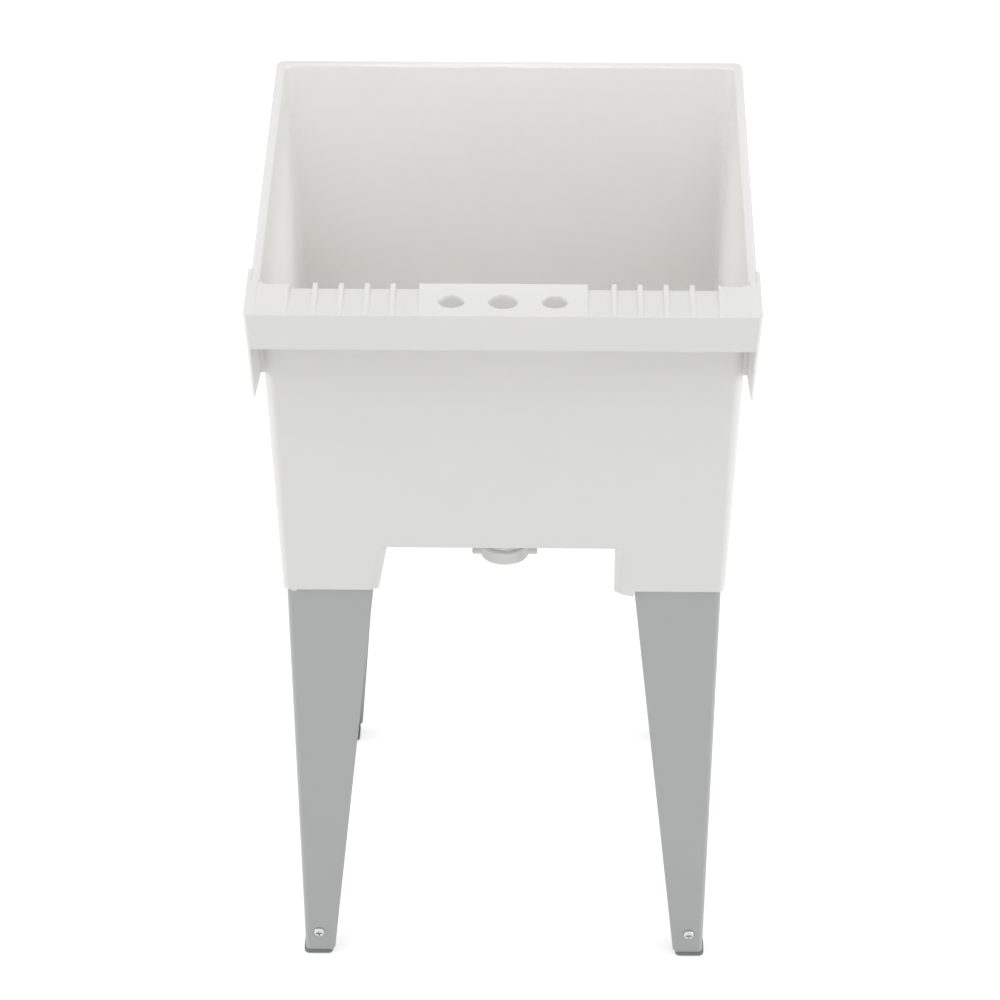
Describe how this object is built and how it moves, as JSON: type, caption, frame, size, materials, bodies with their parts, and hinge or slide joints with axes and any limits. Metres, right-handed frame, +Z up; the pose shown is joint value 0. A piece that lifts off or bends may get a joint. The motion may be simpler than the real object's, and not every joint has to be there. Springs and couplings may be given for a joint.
{
  "type": "utility laundry sink",
  "caption": "Floor-standing moulded laundry sink with a deep tapered bowl, a tap ledge with soap bays, and tapered sheet-steel legs on levelling feet.",
  "frame": {"origin": "on the floor under the middle of the tub's outline", "axes": "+Z up, +X along the tap ledge, -Y towards the wall, where the ledge is; the user stands at +Y"},
  "size_m": [0.508, 0.572, 0.838],
  "materials": {
    "moulded_white": "satin moulded, very fine grain",
    "leg_grey_paint": "satin grey paint on sheet steel",
    "foot_grey": "matt moulded",
    "zinc_steel": "bright zinc",
    "drain_white": "satin moulded",
    "black_rubber": "matt",
    "tan_fibre": "dry pressed fibre"
  },
  "bodies": {
    "sink": {"tub_basin": "moulded_white", "leg_back_left": "leg_grey_paint", "leg_back_right": "leg_grey_paint", "leg_front_left": "leg_grey_paint", "leg_front_right": "leg_grey_paint", "foot_screw_back_left": "zinc_steel", "foot_screw_back_right": "zinc_steel", "foot_screw_front_left": "zinc_steel", "foot_screw_front_right": "zinc_steel", "foot_nut_back_left": "zinc_steel", "foot_nut_back_right": "zinc_steel", "foot_nut_front_left": "zinc_steel", "foot_nut_front_right": "zinc_steel", "drain_body": "drain_white", "flange_gasket": "black_rubber", "rubber_washer": "black_rubber", "friction_washer": "tan_fibre", "drain_locknut": "drain_white", "slip_washer": "black_rubber"},
    "foot_back_left": {"foot_back_left": "foot_grey"},
    "foot_back_right": {"foot_back_right": "foot_grey"},
    "foot_front_left": {"foot_front_left": "foot_grey"},
    "foot_front_right": {"foot_front_right": "foot_grey"},
    "slip_nut": {"slip_nut": "drain_white"},
    "drain_stopper": {"drain_stopper": "black_rubber"}
  },
  "joints": [
    {"name": "levelling_back_left", "type": "slide", "parent": "sink", "child": "foot_back_left", "axis": [0.0196, 0.0174, -0.9997], "range_m": [0, 0.02]},
    {"name": "levelling_back_right", "type": "slide", "parent": "sink", "child": "foot_back_right", "axis": [-0.0196, 0.0174, -0.9997], "range_m": [0, 0.02]},
    {"name": "levelling_front_left", "type": "slide", "parent": "sink", "child": "foot_front_left", "axis": [0.0479, -0.02, -0.9987], "range_m": [0, 0.02]},
    {"name": "levelling_front_right", "type": "slide", "parent": "sink", "child": "foot_front_right", "axis": [-0.0479, -0.02, -0.9987], "range_m": [0, 0.02]},
    {"name": "slip_nut_turn", "type": "hinge", "parent": "sink", "child": "slip_nut", "pos_m": [0, -0.12, 0.472], "axis": [0, 0, 1], "continuous": true},
    {"name": "stopper_lift", "type": "slide", "parent": "sink", "child": "drain_stopper", "axis": [0, 0, 1], "range_m": [0, 0.37]}
  ]
}
